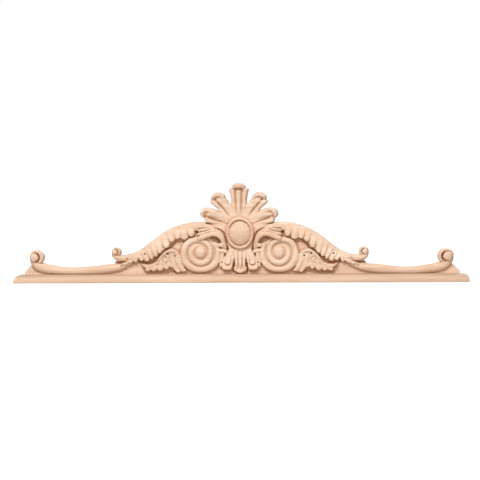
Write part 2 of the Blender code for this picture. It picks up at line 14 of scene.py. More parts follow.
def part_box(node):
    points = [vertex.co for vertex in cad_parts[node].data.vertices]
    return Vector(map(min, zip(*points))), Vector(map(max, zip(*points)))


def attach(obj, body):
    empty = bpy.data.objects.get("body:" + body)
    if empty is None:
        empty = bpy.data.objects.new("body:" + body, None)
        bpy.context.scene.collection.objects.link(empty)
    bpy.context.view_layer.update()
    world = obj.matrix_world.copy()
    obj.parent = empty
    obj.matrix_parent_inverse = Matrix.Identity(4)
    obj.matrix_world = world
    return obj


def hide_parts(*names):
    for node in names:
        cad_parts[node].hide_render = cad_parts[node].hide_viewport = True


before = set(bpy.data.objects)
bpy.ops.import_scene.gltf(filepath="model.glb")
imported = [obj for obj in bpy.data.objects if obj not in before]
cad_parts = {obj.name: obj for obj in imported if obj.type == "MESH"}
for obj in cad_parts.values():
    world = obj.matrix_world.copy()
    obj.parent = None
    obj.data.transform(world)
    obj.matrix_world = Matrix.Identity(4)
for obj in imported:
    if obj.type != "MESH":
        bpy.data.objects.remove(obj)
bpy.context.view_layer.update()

# Sizes of the two pieces: their boxes come from the frame, and the rest is as in the solids
panel_low, panel_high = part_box("carved_panel")
ledge_low, ledge_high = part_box("ledge_moulding")
BOARD_THICKNESS = 0.012
OVOLO_REACH = 0.020
OVOLO_FILLET = 0.003
PANEL_HALF = panel_high.x
PANEL_RISE = panel_high.z - panel_low.z
RELIEF_DEPTH = panel_high.y - panel_low.y - BOARD_THICKNESS

# Fineness of the meshes
PANEL_TRIANGLES = 190000
CURVE_STEPS = 6
OUTLINE_STEPS = 5
VOLUTE_STEPS = 2
SWIRL_STEPS = 3
FLATTEN = 0.0001
OVOLO_STEPS = 24
ARRIS = 0.0006
SHARP_ANGLE = 60

# Painted shade in the hollows: rounds of averaging, the depth of full shade, and how the shade fades
# towards the outline
SHADE_ROUNDS = 36
FULL_SHADE_DEPTH = 5.0
OUTLINE_ROUNDS = 8
OUTLINE_FADE = 8

# The carver's hand: where on the left half forms stand further out, by how much, and the crown's lean
DRIFT_PLACES = (-0.583, -0.548, -0.329, -0.258, -0.104, 0)
DRIFTS = (0, -0.005, -0.005, -0.007, -0.0025, 0)
CROWN_LEAN = -0.0035
CROWN_FOOT = 0.135
CROWN_HALF = 0.120
LEAN_RISE = 0.03
LEAN_EDGE = 0.01

# Wood grain
GRAIN_WIDTH = 0.006
GRAIN_LENGTH = 0.150
TONE_WIDTH = 0.060
TONE_LENGTH = 0.400
PORE_WIDTH = 0.0012
PORE_LENGTH = 0.012
PORE_DEPTH = 0.0004
TONE_SHARE = 0.45

# Studio: paper and surroundings, then each lamp's place, width, height and watts
FLOOR_HALF = 8.0
FLOOR_GAP = 0.0002
GLOW_NARROWING = 0.5
NEAR_GLOW = 0.6
FAR_GLOW = 0.85
GLOW_START = 0.35
GLOW_END = 1.4
WORLD_LIGHT = 0.44
LAMPS = {"key_light": ((-0.7, -2.9, 3.3), 1.7, 1.1, 162),
         "fill_light": ((0.8, -3.5, 0.6), 3.0, 2.0, 58),
         "back_light": ((0.6, 3.2, 1.8), 2.0, 1.5, 40)}
LAMP_TARGET = (0, 0, 0.12)

# Camera, fitted to the photograph
LENS = 196.7
SENSOR = 36.0
CAMERA_DISTANCE = 7.0
CAMERA_YAW = 5.1
CAMERA_PITCH = 2.0
CAMERA_ROLL = -0.44
CAMERA_TARGET = (0.0, 0.0, 0.113)

# The drawing of the carving: out from the middle line, up from the ledge, and height above the board
DRAWN_HALF = 583
DRAWN_RISE = 242.5
DRAWN_RELIEF = 22
UNIT_OUT = PANEL_HALF / DRAWN_HALF
UNIT_UP = PANEL_RISE / DRAWN_RISE
UNIT_RELIEF = RELIEF_DEPTH / DRAWN_RELIEF
BOARD_END = PANEL_HALF / UNIT_OUT
END_STEP = 6.5
MEDALLION_UP = 109.5
VOLUTE_OUT = 104.0
VOLUTE_UP = 57.0
SCROLL_OUT = BOARD_END - 35.7
SCROLL_UP = 45.0
CURL_OUT = 329.5
CURL_UP = 59.0

# How the drawing is cut: fineness, steepness of the walls, heights past the outline, and the sheet
GRID_STEP = 1.0
TURN_STEP = 22.5
THINNEST = 0.3
WALL_SLOPE = 16.0
WALL_INSET = 0.6
WALL_ROOM = 8
MASS_ROOM = 10
GOUGE_SHARE = 0.66
OUTSIDE = -60.0
FLOOR = -8.0
BELOW_FLOOR = 0.5
FAR = 1e9
TINY = 1e-9
SANDED_LOW = -20
SANDED_ABOVE = 1
SHEET_LOW = -4.5
SHEET_OUT = BOARD_END + 20
SHEET_UP = MEDALLION_UP + 147
OUT, UP = np.meshgrid(np.arange(0, SHEET_OUT, GRID_STEP), np.arange(SHEET_LOW, SHEET_UP, GRID_STEP))
relief = np.full(OUT.shape, OUTSIDE)


def smooth_rows(knots, steps=CURVE_STEPS, closed=False):
    """A smooth curve through knots, whose columns are out, up, and where given half width and height."""
    knots = np.array(knots, float)
    if closed:
        ends = np.vstack([knots[-1], knots, knots[0], knots[1]])
    else:
        ends = np.vstack([2 * knots[0] - knots[1], knots, 2 * knots[-1] - knots[-2]])
    rows = []
    for before, start, end, after in zip(ends, ends[1:], ends[2:], ends[3:]):
        for t in np.arange(steps) / steps:
            rows.append(0.5 * (2 * start + (end - before) * t
                               + (2 * before - 5 * start + 4 * end - after) * t ** 2
                               + (3 * start - 3 * end + after - before) * t ** 3))
    rows = np.array(rows + [knots[0] if closed else knots[-1]])
    if rows.shape[1] > 2:
        rows[:, 2] = np.maximum(rows[:, 2], THINNEST)
    return rows


def window_round(rows, reach):
    """The part of the drawing within reach of a curve."""
    low, high = rows[:, :2].min(axis=0) - reach, rows[:, :2].max(axis=0) + reach
    columns = slice(*np.searchsorted(OUT[0], [low[0], high[0]]))
    lines = slice(*np.searchsorted(UP[:, 0], [low[1], high[1]]))
    return lines, columns


def beside(rows):
    """For the points near a curve: their window, distance in half widths, side, half width and height."""
    window = window_round(rows, rows[:, 2].max() + WALL_ROOM)
    out, up = OUT[window], UP[window]
    gap = np.full(out.shape, FAR)
    side, half, height = np.zeros(out.shape), np.zeros(out.shape), np.zeros(out.shape)
    for start, end in zip(rows, rows[1:]):
        run = end[:2] - start[:2]
        t = ((out - start[0]) * run[0] + (up - start[1]) * run[1]) / max(run @ run, TINY)
        t = np.clip(t, 0, 1)
        wide = start[2] + (end[2] - start[2]) * t
        here = np.hypot(out - start[0] - run[0] * t, up - start[1] - run[1] * t) / wide
        near = here < gap
        gap = np.where(near, here, gap)
        turn = run[0] * (up - start[1]) - run[1] * (out - start[0])
        side = np.where(near, np.sign(turn), side)
        half = np.where(near, wide, half)
        height = np.where(near, start[3] + (end[3] - start[3]) * t, height)
    return window, gap, side, half, height


def bead(knots, roundness=0.8, steps=CURVE_STEPS, hollow=0.0, tilt=0.0):
    """Raises a rounded form along a curve; roundness 1 is a half round, 0 is flat. Hollow is the depth
    of a gouge cut down its middle, and tilt lifts its left edge, as it runs, above its right one."""
    window, gap, side, half, height = beside(smooth_rows(knots, steps))
    inner = np.minimum(gap, 1)
    drop = roundness * half * (1 - np.sqrt(1 - inner ** 2))
    drop = drop + hollow * np.clip(1 - (gap / GOUGE_SHARE) ** 2, 0, 1) - tilt * side * inner
    wall = np.maximum(gap * half - half + WALL_INSET, 0) * WALL_SLOPE
    relief[window] = np.maximum(relief[window], height - drop - wall)


def groove(knots, steps=CURVE_STEPS):
    """Cuts a rounded groove along a curve, whose last column is its depth."""
    window, gap, _, _, depth = beside(smooth_rows(knots, steps))
    old = relief[window]
    cut = np.maximum(old - depth * np.clip(1 - gap ** 2, 0, 1), np.minimum(old, FLOOR))
    relief[window] = np.where(gap < 1, cut, old)


def pit(out, up, radius, depth):
    """Sinks a round hole, as left by a drill or a gouge's point."""
    gap = np.hypot(OUT - out, UP - up) / radius
    cut = np.maximum(relief - depth * np.sqrt(np.clip(1 - gap ** 2, 0, 1)), np.minimum(relief, FLOOR))
    relief[...] = np.where(gap < 1, cut, relief)


def dome(out, up, half_out, half_up, edge, crown, power=0.5):
    """Raises an oval dome from the height of its edge to its crown."""
    gap = np.hypot((OUT - out) / half_out, (UP - up) / half_up)
    value = edge + (crown - edge) * np.clip(1 - gap ** 2, 0, 1) ** power
    value = np.where(gap > 1, edge - (gap - 1) * half_out * WALL_SLOPE, value)
    relief[...] = np.maximum(relief, value)


def inside_and_distance(outline, reach):
    """For the points near a closed outline: their window, whether they are inside, and how far from it."""
    window = window_round(outline, reach)
    out, up = OUT[window], UP[window]
    inside = np.zeros(out.shape, bool)
    away = np.full(out.shape, FAR)
    for start, end in zip(outline, outline[1:]):
        run = end - start
        t = ((out - start[0]) * run[0] + (up - start[1]) * run[1]) / max(run @ run, TINY)
        t = np.clip(t, 0, 1)
        away = np.minimum(away, np.hypot(out - start[0] - run[0] * t, up - start[1] - run[1] * t))
        if start[1] != end[1]:
            crossing = start[0] + (up - start[1]) / (end[1] - start[1]) * run[0]
            inside ^= ((start[1] > up) != (end[1] > up)) & (out < crossing)
    return window, inside, away


def mass(outline, height, edge, drop, fall=(0, 0)):
    """Raises a form with a closed outline: height at its middle, rounded over by drop within edge of
    its outline. Fall is how much the height changes with each unit out and up from its middle."""
    rows = smooth_rows(outline, OUTLINE_STEPS, closed=True)
    window, inside, away = inside_and_distance(rows, MASS_ROOM)
    middle = rows[:-1].mean(axis=0)
    level = height + fall[0] * (OUT[window] - middle[0]) + fall[1] * (UP[window] - middle[1])
    near = np.clip(1 - (away - WALL_INSET) / edge, 0, 1)
    body = level - drop * (1 - np.sqrt(1 - near ** 2))
    wall = level - drop - np.where(inside, WALL_INSET - away, WALL_INSET + away) * WALL_SLOPE
    value = np.where(inside & (away > WALL_INSET), body, wall)
    relief[window] = np.maximum(relief[window], value)


def beyond(out, up, knots):
    """Knots that are given from a point of the drawing."""
    return [(out + aside, up + above, *rest) for aside, above, *rest in knots]


def around(out, up, stations):
    """Knots on a curl: each station is degrees from outward, radius, half width and height."""
    return [(out + radius * math.cos(math.radians(degrees)), up + radius * math.sin(math.radians(degrees)),
             half, height) for degrees, radius, half, height in stations]


def winding(out, up, stations):
    """Knots on a spiral of several turns, spaced evenly between its stations."""
    degrees, *columns = np.array(stations, float).T
    turns = np.arange(degrees[0], degrees[-1] + 1, TURN_STEP)
    return around(out, up, zip(turns, *(np.interp(turns, degrees, column) for column in columns)))


# The main lines of the design: out, up, half width, height above the board
ARCH = [(300, 44, 8, 8), (281, 47.5, 9.5, 9), (262, 54, 10.5, 9), (243, 66.5, 11.5, 9), (223, 81, 12, 9),
        (202, 97, 12, 9), (181, 109.5, 12, 9), (160, 118, 12, 9), (138, 124, 12, 9), (114, 127, 12, 9),
        (90, 126, 11, 8), (66, 121, 10, 7)]
LONG_STEM = [(290, 33, 8, 8), (308, 23.5, 8.5, 9), (326, 17.5, 9.5, 10), (350, 14.5, 12, 10),
             (384, 11, 11.5, 10), (430, 8.5, 9.5, 10), (470, 9, 10, 10)]
LONG_STEM += beyond(SCROLL_OUT, SCROLL_UP, [(-37, -31.5, 12, 10), (-20, -28, 12.8, 10), (-5, -23, 12.2, 10),
                                            (5, -14, 11.6, 10), (10, -4, 10.8, 10), (10, 2, 10, 10)])
SHORT_STEM = [(288, 44, 7, 8), (302, 43, 8, 9), (315, 42.5, 9, 10), (326, 44.5, 9, 10), (334, 50, 7.6, 10),
              (336.5, 56, 6, 10)]


# The lobes of the leaves: where each starts and ends, and its half width
HUSK_LOBES = [((268, 46), (275, 33), 4), ((275, 45), (290, 31), 4.6), ((281, 43), (303, 26.5), 4.4),
              ((287, 41), (316, 24.5), 3.4)]
ARCH_LOBES = [((267, 53), (257, 38), 6.6), ((255, 60), (242, 36.5), 7.8), ((243, 69), (230, 42), 7.6),
              ((229, 79), (220, 48), 7.2), ((214.5, 90), (209.5, 57), 8.8), ((198, 101), (192, 73), 9.8),
              ((183, 109), (177, 90), 9.0), ((168, 116), (162.5, 97), 8.2), ((148, 122), (145, 97), 11.4),
              ((130, 125), (126.5, 104), 9.2)]
FAN_LOBES = [((224, 26), (243, 13), 7.2), ((212, 28), (227, 13.5), 7.6), ((202, 29), (210, 14), 8.2),
             ((192, 31), (193, 17), 7.0), ((185, 36), (180, 22), 6)]


def board():
    """The flat ground behind the carving, from the ledge up to the middle of the stems and the arch."""
    arch, stem = smooth_rows(ARCH), smooth_rows(LONG_STEM)
    top = np.interp(OUT[0], arch[::-1, 0], arch[::-1, 1])
    top = np.where(OUT[0] < 95, 125, top)
    top = np.where(OUT[0] > 298, np.interp(OUT[0], stem[:, 0], stem[:, 1]), top)
    top = np.where(OUT[0] > SCROLL_OUT - 3, SCROLL_UP - 20, top)
    value = np.minimum(0, (top[None, :] - UP) * WALL_SLOPE)
    value = np.minimum(value, (BOARD_END - np.maximum(UP - END_STEP, 0) - OUT) * WALL_SLOPE)
    relief[...] = np.maximum(relief, value)


def scroll(out, up, size, height):
    """The curl at the end of a stem, like a young fern: a ring that thickens as it turns, round an eye."""
    dome(out, up, 19 * size, 19 * size, 3, 4)
    ring = [(18, 19.4, 2.8, -3), (50, 17.9, 3.4, -1), (90, 16.4, 4.2, 0), (130, 16.2, 5.4, 1),
            (165, 16.0, 6.4, 1), (200, 15.2, 6.4, 0), (232, 13.8, 5.2, -1), (258, 12.0, 3.6, -3)]
    bead(around(out, up, [(a, r * size, half * size, height + lift * size) for a, r, half, lift in ring]),
         0.85)
    dome(out + 5.6 * size, up - 0.8 * size, 13.4 * size, 13.8 * size, height * 0.5, height + 4.5 * size,
         0.4)
    crease = [(25, 17.4, 1.2, 1), (50, 16.0, 1.4, 2.5), (85, 14.0, 1.6, 4), (120, 12.0, 1.8, 4.5),
              (160, 10.0, 1.8, 4.5), (195, 9.2, 2.0, 5), (225, 10, 2.4, 6)]
    hollow = [(225, 10.0, 2.6, 5), (255, 10.8, 4.4, 8), (285, 12.0, 3.4, 5)]
    for cut in (crease, hollow):
        groove(around(out, up, [(a, r * size, half * size, depth * size) for a, r, half, depth in cut]))


def long_stem():
    """The low stem along the ledge, rolled up at its outer end."""
    bead(LONG_STEM, 0.8)
    scroll(SCROLL_OUT, SCROLL_UP, 1.0, 12)


def short_stem():
    """The smaller curl that springs up from the same husk, and the web between the two stems."""
    bead([(300, 33, 9, 1), (318, 31, 7, 1), (330, 30, 5, 1)], 0.2)
    bead(SHORT_STEM, 0.8)
    scroll(CURL_OUT, CURL_UP, 0.61, 12)


def husk():
    """The leafy husk that both stems spring from, with a scalloped lower edge."""
    mass([(258, 50), (271, 36), (287, 31), (304, 25.5), (320, 23.5), (308, 36), (302, 49), (280, 54)], 11.5,
         6, 4)
    for start, end, half in HUSK_LOBES:
        middle = ((start[0] + end[0]) / 2 - 1, (start[1] + end[1]) / 2 + 1)
        bead([(*start, half * 0.6, 10), (*middle, half, 12.5), (*end, half * 0.8, 13)], 0.6)
    groove([(298, 38, 2, 4), (304, 34, 2.2, 9), (318, 31.5, 2.6, 10), (336, 30.5, 2, 6)])
    pit(298, 41, 2.6, 9)


def arch_leaf():
    """The sweeping arch, and the leaf under it whose lobes hang side by side and turn forward."""
    bead(ARCH, 0.45)
    bead([(262, 47, 7, 9.5), (248, 49.5, 10, 11), (236, 55, 12, 11.5), (224, 63, 13.5, 12),
          (211, 74, 15, 12), (197, 86, 13, 12), (181, 98, 10, 12), (165, 105, 10, 12), (147, 110, 12, 12),
          (130, 114, 10, 11)], 0.3)
    for (out, up), (tip_out, tip_up), half in ARCH_LOBES:
        rows = []
        for share, width, height in ((0.0, 0.5, 9), (0.2, 0.85, 12.5), (0.5, 1.0, 14.5), (0.8, 0.94, 15.5)):
            rows.append((out + (tip_out - out) * share, up + (tip_up - up) * share, half * width, height))
        rows.append((tip_out, tip_up + half * 0.5, half * 0.66, 15))
        bead(rows, 0.6, hollow=0.5, tilt=1.3)
    pit(250, 54, 2.8, 8)
    pit(226, 44.5, 2.4, 8)


def shadow_channel():
    """The deep channel between the arch's leaf and the fan below it."""
    groove([(266, 40, 4, 5), (264, 32, 4.5, 6), (250, 31, 3.5, 6), (238, 31, 4.5, 6), (224, 37, 5, 6),
            (211, 49, 4.5, 6), (197, 63, 4.5, 6), (184, 71, 4.5, 6), (174, 84, 5, 6), (164, 89, 4.5, 5),
            (150, 87, 4, 4)])
    groove([(250, 5, 4, 3), (235, 3, 5, 5), (210, 4, 6, 6), (190, 7, 7, 6), (176, 7, 5, 6), (170, 3, 3, 4)])


def volute():
    """The big spiral beside the medallion, wound inward round a raised eye."""
    dome(VOLUTE_OUT, VOLUTE_UP, 46, 46, 3, 8.5, 0.35)
    turns = [(150, 45, 6.6, 11), (222, 48, 9.4, 13.5), (270, 45, 8.6, 13.5), (315, 47.5, 9.6, 13),
             (400, 42, 9, 13), (460, 32, 6.8, 14), (540, 26, 7.2, 14.5), (630, 28, 8.8, 14.5),
             (720, 25, 7, 13.5), (800, 21, 3, 9)]
    bead(winding(VOLUTE_OUT, VOLUTE_UP, turns), 0.85, steps=VOLUTE_STEPS)
    dome(VOLUTE_OUT, VOLUTE_UP, 15.2, 17.2, 6, 17.5)


def fan_leaf():
    """The leaf that fills the corner under the arch, outside the volute, with scalloped lower edges."""
    mass([(258, 28), (247, 14), (228, 14), (205, 14), (183, 18), (166, 6), (143, 8), (152, 32), (160, 58),
          (178, 68), (198, 61), (214, 40), (236, 28)], 10, 5, 4, (0, 0.03))
    bead([(258.5, 28.5, 2.2, 15), (251, 21.5, 3.6, 14), (241, 20.5, 4.4, 13), (229, 23.5, 4.6, 12.5),
          (219.5, 30, 4.6, 12.5), (211.5, 41, 4.2, 13), (202.5, 52.5, 4.2, 14), (192.5, 60, 4.6, 15),
          (182, 63.5, 4.8, 15.5), (172.5, 61, 4.2, 14), (166.5, 54, 3.4, 11)], 0.7)
    for (out, up), (tip_out, tip_up), half in FAN_LOBES:
        bead([(out, up, half * 0.7, 9), ((out + tip_out) / 2, (up + tip_up) / 2, half, 12),
              (tip_out, tip_up, half * 0.9, 13.5)], 0.5, hollow=0.5)
    bead([(176, 44, 3.5, 10), (174, 30, 4.6, 12), (170, 17, 5.4, 13.5), (163, 8, 5.2, 14)], 0.6, hollow=0.8)
    bead([(167, 52, 3.5, 9), (163, 36, 4.8, 11), (158, 21, 5.6, 12.5), (151, 11.5, 5, 13),
          (143, 9.5, 3, 12)], 0.6)
    pit(190, 55, 2.9, 10)
    pit(171.2, 48.5, 2.4, 10)


def crown():
    """The five petals that fan out above the medallion, their tips rolled forward."""
    mass(beyond(0, MEDALLION_UP, [(-30, 20), (0, 66), (22, 78), (54, 52), (76, 24), (60, 0), (44, -30),
                                  (0, -50)]), 6.5, 8, 3)
    mass(beyond(0, MEDALLION_UP, [(-20, 50), (-20.5, 85), (-23.5, 106), (-25.5, 117), (-14, 121), (14, 121),
                                  (25.5, 117), (23.5, 106), (20.5, 85), (20, 50)]), 9, 7, 3.5, (0, 0.07))
    bead([(0, MEDALLION_UP + 38, 5, 7), (0, MEDALLION_UP + 70, 6.2, 11), (0, MEDALLION_UP + 116, 7, 15)],
         0.55)
    bead([(9, MEDALLION_UP + 44, 4.5, 6), (14, MEDALLION_UP + 72, 5, 9), (15.5, MEDALLION_UP + 98, 6, 12),
          (18, MEDALLION_UP + 114, 6, 13)], 0.5)
    groove([(5.5, MEDALLION_UP + 46, 1.3, 1), (7.6, MEDALLION_UP + 74, 2.4, 3),
            (8.4, MEDALLION_UP + 113, 2.8, 4)])
    groove(beyond(0, MEDALLION_UP, [(0, 118.6, 3, 3), (8, 119.2, 2.8, 3), (15, 121, 2, 2.4),
                                    (20, 124, 1, 1.5)]))
    bead(beyond(0, MEDALLION_UP, [(-12, 123.5, 5, 16.5), (-5, 126, 6.2, 19.5), (5, 126, 6.2, 19.5),
                                  (12, 123.5, 5, 16.5)]), 0.85)
    groove(beyond(0, MEDALLION_UP, [(-9, 117, 3, 3), (0, 116, 5, 5), (9, 117, 3, 3)]))
    pit(12.5, MEDALLION_UP + 123.5, 2.4, 2.5)
    mass(beyond(0, MEDALLION_UP, [(8, 46), (22, 74), (34, 88), (43, 102), (57, 107), (70, 100), (72.5, 87),
                                  (62, 73.5), (48, 61), (28, 38)]), 7.5, 6, 3, (0.02, 0.04))
    bead(beyond(0, MEDALLION_UP, [(17, 46, 7, 6), (28, 62, 10, 9), (40, 80, 11.5, 12), (50, 93, 11, 15),
                                  (56, 99, 9, 16)]), 0.55, hollow=0.8)
    bead(beyond(0, MEDALLION_UP, [(34, 46, 4, 5), (46, 62, 5.5, 7), (58, 74.5, 6.5, 9.5), (67, 84, 6.5, 12),
                                  (69, 90, 5, 13)]), 0.6)
    groove(beyond(0, MEDALLION_UP, [(26, 44, 1.6, 2), (35, 57, 2.8, 4.5), (44, 69, 3.4, 5.5),
                                    (53, 78, 3.4, 4.5), (60, 83, 2.6, 2)]))
    bead(beyond(0, MEDALLION_UP, [(41.5, 97.5, 4.6, 13.5), (49, 102, 5.4, 16.5), (59, 102.5, 5.8, 17.5),
                                  (67, 97.5, 5.4, 17), (70, 92, 3.6, 14.5)]), 0.85)
    bead(beyond(0, MEDALLION_UP, [(58, 74, 5, 10), (67, 80.5, 5.4, 12.5), (73, 85, 3.8, 13.5)]), 0.8)
    groove(beyond(0, MEDALLION_UP, [(44, 91, 3.4, 2), (53, 93.5, 6, 4), (61, 91.5, 7, 5),
                                    (68, 88, 4.6, 3.5), (74, 88, 2.4, 2)]))
    mass(beyond(0, MEDALLION_UP, [(28, 36), (50, 56), (64, 60), (80, 67.5), (97, 61), (101, 49), (92, 40),
                                  (88, 28), (66, 22.5), (38, 10)]), 6.5, 6, 3, (0.045, 0.02))
    bead(beyond(0, MEDALLION_UP, [(30, 32, 6, 5), (47, 43, 8.5, 8), (64, 51, 10.5, 11.5),
                                  (80, 56, 11, 14.5), (90, 56, 9.5, 15.5)]), 0.55, hollow=0.8)
    bead(beyond(0, MEDALLION_UP, [(38, 16, 5, 5), (56, 27.5, 6, 7), (72, 31, 6.5, 10), (85, 33.5, 6, 12.5),
                                  (89, 37, 4.5, 13)]), 0.6)
    groove(beyond(0, MEDALLION_UP, [(34, 24, 1.6, 2), (50, 31, 2.8, 4.5), (66, 35.5, 3.2, 5.5),
                                    (77, 40, 3.2, 4.5), (84, 44, 2.4, 2)]))
    bead(beyond(0, MEDALLION_UP, [(79, 62.5, 4.4, 13.5), (88, 61.5, 5.4, 16.5), (96, 57, 5.8, 17.5),
                                  (98.5, 50.5, 5.2, 16.5), (95, 45, 3.6, 14.5)]), 0.85)
    groove(beyond(0, MEDALLION_UP, [(77, 54, 4.4, 2), (85.5, 53.5, 6.4, 4.5), (90, 48.5, 5.4, 4.5),
                                    (91, 42, 3, 2.5)]))
    bead(beyond(0, MEDALLION_UP, [(36, 50, 3, 5), (47, 58, 4, 7), (53, 60, 3, 7)]), 0.7)


def hood_leaf():
    """The leaf that turns over the top of the volute, with its fingers and the tie below it."""
    mass([(112, 104), (104, 93), (84, 95), (64, 102), (52, 88), (48, 68), (35, 66), (36, 90), (50, 115),
          (76, 128), (102, 130)], 11, 5, 3)
    bead([(96, 129, 3.2, 14), (84, 129.5, 4, 14), (72, 126, 4, 13)], 0.7)
    bead([(107, 125, 3, 15), (98, 126.5, 3.4, 15), (84, 125.5, 4, 15), (70, 121.5, 4, 14)], 0.7)
    bead([(108, 116, 3.4, 16), (98, 119, 4, 16.5), (84, 120, 4.6, 16.5), (69, 117.5, 4.6, 16)], 0.7)
    bead([(110, 107, 3.6, 17), (99, 109.5, 5, 18), (84, 114, 5.2, 18), (68, 114, 5, 17)], 0.65)
    bead([(106, 95.5, 6.2, 18.5), (97, 99.5, 7.2, 19.5), (85, 104.5, 7, 20), (72, 107.5, 7, 20),
          (60, 106, 7.5, 20), (50, 99.5, 7.5, 19.5), (44.5, 90, 7, 18), (42.5, 80, 5.5, 16),
          (39, 70, 4, 13)], 0.6)
    groove([(78, 97, 1.8, 2), (72, 97, 4.2, 4), (65, 95.5, 5.6, 5.5), (58, 91.5, 5, 5.5), (53, 87.5, 3, 4)])
    bead([(60, 76.5, 4.6, 12), (51, 77, 6.4, 15.5), (41, 75, 5.6, 14)], 0.8)
    bead([(60, 62.5, 4.2, 10.5), (49.5, 62.5, 6.4, 14.5), (38, 60, 5.2, 13)], 0.8)
    groove([(60, 69.2, 1.2, 1), (51, 69.6, 1.5, 2), (42, 67.5, 1.4, 2), (36, 66, 1.2, 1.5)])
    bead([(47, 60, 5.5, 12), (47.5, 47, 6, 11.5), (50, 33, 5, 10.5), (51, 22, 4.5, 10)], 0.7)


def pendant():
    """The leaf that hangs under the medallion: a fluted middle lobe and a lobe to each side."""
    mass([(14, 70), (30, 66), (42, 46), (50.5, 28), (47, 13), (34, 8.5), (22, 11), (19, 24), (15.5, 42)],
         10.5, 5, 3.5, (0, -0.06))
    bead([(25, 68, 5, 9), (27, 56, 6.5, 12), (31.5, 44, 8, 14), (33, 33, 8.5, 15)], 0.55, hollow=2.4)
    bead([(26.5, 16, 5.2, 15), (34.5, 15, 6, 17.5), (43, 16.5, 5.4, 16)], 0.85)
    bead([(46.5, 40, 2.6, 9), (46, 30, 3.4, 12), (45, 22, 3.6, 14)], 0.7)
    groove([(24.5, 48, 0.9, 1.5), (24, 36, 1.3, 3), (26, 27, 1.6, 4.5), (32, 23.8, 1.8, 5),
            (38.5, 25.5, 1.5, 4), (41, 34, 1.1, 2), (38, 44, 0.8, 1)])
    mass([(-17, 68), (-16.5, 45), (-13.5, 31), (-13, 24), (-17, 16), (-14, 7), (0, 0.5), (14, 7), (17, 16),
          (13, 24), (13.5, 31), (16.5, 45), (17, 68)], 12, 5, 3.5, (0, -0.07))
    bead([(0, 66, 4.5, 9), (0, 44, 5, 13.5), (0, 24, 4.6, 16), (0, 14, 3.4, 17)], 0.6)
    bead([(11.5, 64, 3.6, 9), (11, 44, 4, 13), (10, 26, 3.8, 15.5), (11, 15, 3, 16)], 0.6)
    groove([(5.2, 64, 0.9, 1.5), (5.6, 44, 1.5, 4), (5, 26, 1.6, 4.5), (3, 17, 1.5, 4), (0, 12.5, 1.5, 4)])
    bead([(-4, 6.5, 5, 18), (4, 6.5, 5, 18)], 0.8)
    bead([(11.5, 20, 3, 13), (14.5, 14, 4, 15.5), (12.5, 9.5, 3.5, 15)], 0.8)
    pit(17, 26, 3.2, 13)
    groove([(17, 27, 2.2, 8), (18.3, 21, 1.8, 9), (18.6, 13, 1.6, 9), (18.4, 5, 2, 6)])
    pit(47.5, 31, 2.2, 8)


def medallion():
    """The oval ring and the smooth dome inside it."""
    half_out, half_up = 37, 43
    top, edge, channel = 17.5, 12.5, 9
    gap = np.hypot(OUT / half_out, (UP - MEDALLION_UP) / half_up)
    ring = top - (top - edge) * (1 - np.sqrt(np.clip(1 - ((gap - 0.9) / 0.1) ** 2, 0, 1)))
    ring = np.where(gap > 1, edge - (gap - 1) * half_out * WALL_SLOPE, ring)
    ring = np.where(gap < 0.8, channel, ring)
    relief[...] = np.where(gap < 1, ring, np.maximum(relief, ring))
    dome(0, MEDALLION_UP, 29.8, 32.4, 9.5, 22)
    groove(beyond(0, MEDALLION_UP, [(29, -52, 1.4, 2), (33.5, -46, 2, 5), (34, -38, 2.4, 6),
                                    (35.5, -29, 2.5, 6), (38, -17, 2.5, 6), (40, -6, 2.5, 6),
                                    (45, 3, 2.6, 6.5), (54, 9, 2.4, 6), (63, 13, 2, 4), (70, 14, 1.2, 2)]))
    pit(112.5, 112, 3.8, 14)


